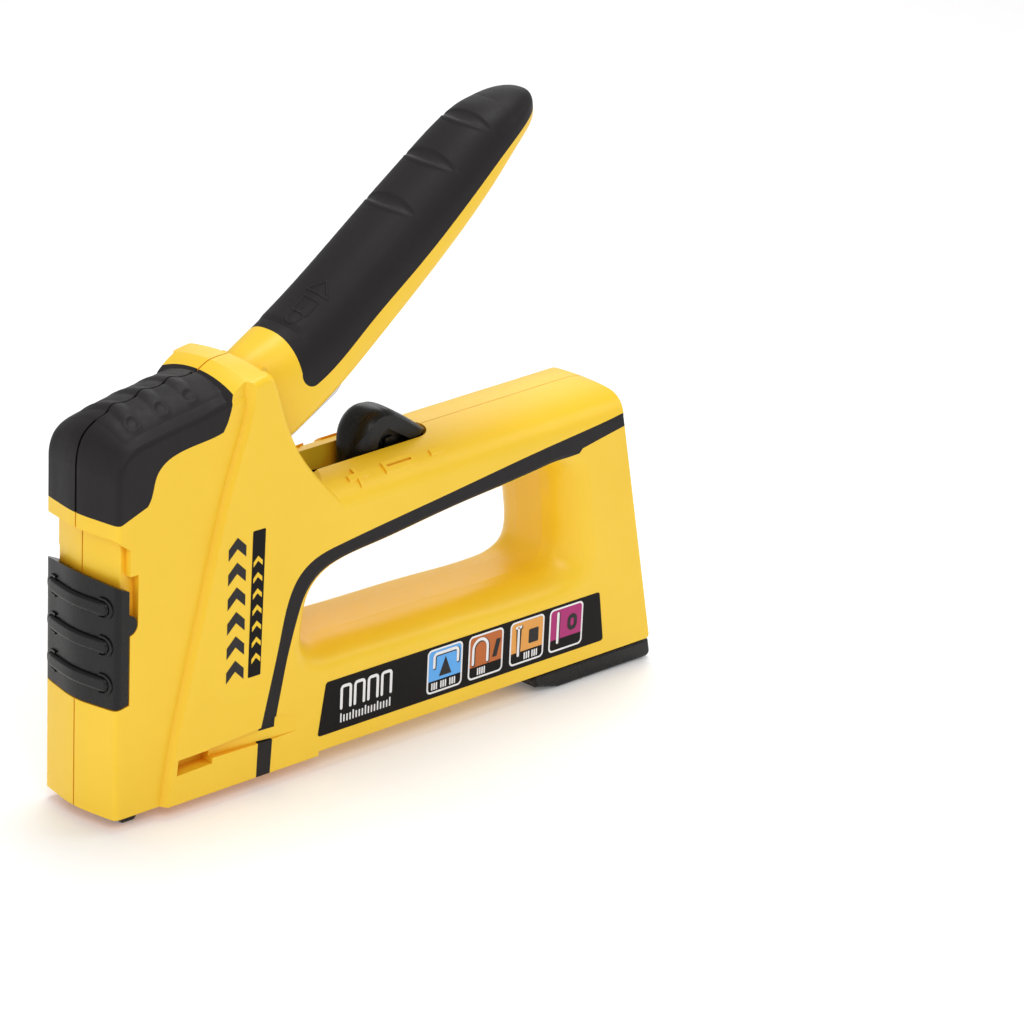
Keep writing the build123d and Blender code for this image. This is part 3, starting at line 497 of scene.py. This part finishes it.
for side in (-1, 1):
    piece = cap_relief(side)
    for vertex in piece.data.vertices:
        near = 1 - smooth_step(0, 3.0 * MM, abs(vertex.co.y))
        vertex.co.y += seam_shift(vertex.co.x) * near

# grip: three shallow hollows across it and a raised padlock with an arrow
GRIP_START = ((57.0 - NOSE_X) * MM, 0.0, 102.4 * MM)  # on the crest of the lever
GRIP_ALONG = Vector((0.8376, 0.0, 0.5463))
GRIP_UP = Vector((-0.5463, 0.0, 0.8376))
# the rest of the grip is in millimetres: s runs along it and y across
GRIP_SKIN = 0.32
HOLLOWS = (38.5, 53.0, 66.4)
HOLLOW_HALF_WIDTH = 9.4
HOLLOW_HALF_LENGTH = 1.9
HOLLOW_DEPTH = 0.30
LIP_RISE = 0.16


def grip_patch(name, s_range, y_range, pitch, height):
    """A patch of the grip over these ranges of s and y, raised by height(s, y)."""
    origin = Vector(GRIP_START) + GRIP_ALONG * s_range[0] * MM + Vector((0, y_range[0] * MM, 0))
    size = ((s_range[1] - s_range[0]) * MM, (y_range[1] - y_range[0]) * MM)
    cells = (round((s_range[1] - s_range[0]) / pitch), round((y_range[1] - y_range[0]) / pitch))

    def lifted(s, t):
        return height(s / MM + s_range[0], t / MM + y_range[0]) * MM

    relief(name, "lever_grip", "lever", origin, GRIP_ALONG, (0, 1, 0), GRIP_UP, size, cells, lifted)


def grip_skin(s, y):
    """Crescent hollows, each with a lip on its lower side, in a skin that fades out at the border."""
    side = 1 - smooth_step(7.6, 9.9, abs(y))
    ends = smooth_step(0.0, 2.5, s + 1.4) * (1 - smooth_step(70.0, 75.5, s))
    skin = GRIP_SKIN * side * ends
    shape = 0.0
    for centre in HOLLOWS:
        half = HOLLOW_HALF_LENGTH * (1 - (y / HOLLOW_HALF_WIDTH) ** 2)
        if half <= 0.05:
            continue
        u = (s - centre) / half
        if abs(u) < 1:
            shape -= HOLLOW_DEPTH * (1 - u * u) ** 0.8
        lip = (s - centre + 1.1 * half) / (0.45 + 0.25 * half)
        shape += LIP_RISE * max(0.0, 1 - lip * lip) * min(1.0, half)
    return skin + shape * min(1.0, skin / 0.25) + UNDER / MM * (1 - smooth_step(0, 0.08, skin))


def to_segment(s, y, a, b):
    """Distance from a point to the line between a and b."""
    ds, dy = b[0] - a[0], b[1] - a[1]
    share = min(max(((s - a[0]) * ds + (y - a[1]) * dy) / (ds * ds + dy * dy), 0.0), 1.0)
    return hypot(s - a[0] - share * ds, y - a[1] - share * dy)


SIGN_RISE = 0.3
SIGN_LINES = (  # padlock body, shackle and bolt, then the arrow
    ((3.8, -0.9), (8.2, -0.9), (8.2, -5.2), (3.8, -5.2), (3.8, -0.9)),
    ((3.8, -1.5), (1.8, -1.5), (0.6, -2.1), (0.2, -3.0), (0.6, -4.0), (1.8, -4.6), (3.8, -4.6)),
    ((5.2, -3.1), (6.9, -3.1)),
    ((10.0, 0.2), (10.0, -6.2), (13.6, -3.0), (10.0, 0.2)),
)


def sign_height(s, y):
    nearest = min(to_segment(s, y, a, b) for line in SIGN_LINES for a, b in zip(line, line[1:]))
    return grip_skin(s, y) - 0.05 + SIGN_RISE * (1 - smooth_step(0.1, 0.42, nearest))


grip_patch("grip_relief", (-1.4, 75.8), (-10.0, 10.0), 0.3, grip_skin)
grip_patch("grip_sign", (-0.6, 14.4), (-7.0, 1.0), 0.13, sign_height)

# ------------------------------------------------------------------ springs


def spring_copy(node):
    """A soft copy of a CAD spring, standing in for it."""
    piece = bpy.data.objects.new(f"{node}_coil", NODES[node].data.copy())
    scene.collection.objects.link(piece)
    finish_with(piece, MATERIALS["spring_steel"])
    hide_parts(node)
    return piece


def springy(node, body):
    """A copy of a CAD spring that rides with this body, with a mesh of its own."""
    piece = spring_copy(node)
    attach(piece, body)
    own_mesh(piece)


springy("main_spring", "housing")
springy("pusher_spring", "drawer")

# the torsion spring: a copy with its placement baked into its mesh
winding = spring_copy("return_spring")
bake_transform(winding)

# ------------------------------------------------------------------ stage


FLOOR_REACH = 6.0
FLOOR_GAP = 0.1 * MM
FOOT_FLAT = 10 * MM  # the foot's sole starts this far behind its front end


def floor_plane():
    """Pale floor under the two places the tool stands on: the nose tabs and the heel foot."""
    nose_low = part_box("nose_guide")[0]
    foot_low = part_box("drawer_foot")[0]
    x_at = foot_low[0] + FOOT_FLAT
    slope = (foot_low[2] - nose_low[2]) / (x_at - nose_low[0])
    at = foot_low[2] - FLOOR_GAP
    mesh = bpy.data.meshes.new("floor")
    plan = [(x * FLOOR_REACH, y * FLOOR_REACH) for x, y in ((-1, -1), (1, -1), (1, 1), (-1, 1))]
    mesh.from_pydata([(x, y, at + slope * (x - x_at)) for x, y in plan], [], [(0, 1, 2, 3)])
    floor = bpy.data.objects.new("floor", mesh)
    scene.collection.objects.link(floor)
    s = Shader("floor", Roughness=0.6, Specular_IOR_Level=0.2, Emission_Strength=0.12)
    s.feed("Base Color", s.mix(s.noise(6, 3), (0.90, 0.90, 0.90), (0.93, 0.93, 0.93)))
    floor.data.materials.append(s.material)


def area_light(name, at, towards, size, watts, colour=(1, 1, 1)):
    data = bpy.data.lights.new(name, "AREA")
    data.shape = "DISK"
    data.size = size
    data.energy = watts
    data.color = colour
    obj = bpy.data.objects.new(name, data)
    obj.location = at
    obj.rotation_euler = (Vector(towards) - Vector(at)).to_track_quat("-Z", "Y").to_euler()
    scene.collection.objects.link(obj)


floor_plane()
world = bpy.data.worlds.new("studio")
world.use_nodes = True
world.node_tree.nodes["Background"].inputs["Color"].default_value = (1, 1, 1, 1)
world.node_tree.nodes["Background"].inputs["Strength"].default_value = 0.42
scene.world = world
MIDDLE = (0.07, 0.0, 0.06)
area_light("key", (-0.45, -0.75, 0.85), MIDDLE, 0.7, 4.3)
area_light("top", (0.25, 0.15, 1.15), MIDDLE, 0.6, 6.3)
area_light("front", (-1.1, 0.05, 0.35), MIDDLE, 0.7, 2.2)
area_light("rim", (0.8, -0.5, 0.5), MIDDLE, 0.5, 1.2)
area_light("back", (0.85, 0.8, 0.6), MIDDLE, 0.8, 1.8)
